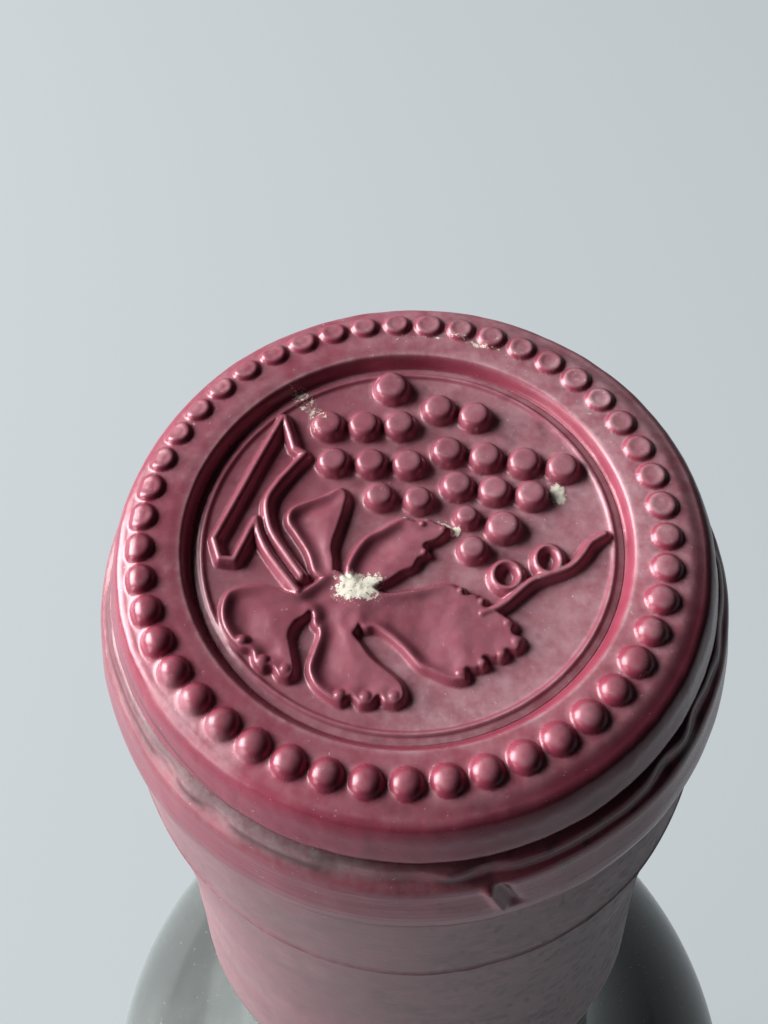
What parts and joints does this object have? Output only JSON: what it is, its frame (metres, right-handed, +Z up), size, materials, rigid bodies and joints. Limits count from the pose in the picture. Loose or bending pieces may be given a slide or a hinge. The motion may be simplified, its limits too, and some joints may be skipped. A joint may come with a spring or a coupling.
{
  "type": "wine bottle",
  "caption": "Full green glass wine bottle with straight shoulders, its neck sealed by a stamped maroon foil capsule with a beaded rim.",
  "frame": {"origin": "centre of the bottle's foot, on the plane the bottle stands on", "axes": "+Z up along the bottle's axis to the capsule's top; +Y up the stamped picture on the top, away from the viewer; +X to its right"},
  "size_m": [0.076, 0.076, 0.3125],
  "materials": {
    "bottle_glass": "glossy",
    "red_wine": "glossy",
    "capsule_foil": "satin"
  },
  "bodies": {
    "root": {"glass": "bottle_glass", "wine": "red_wine", "capsule": "capsule_foil"}
  },
  "joints": []
}
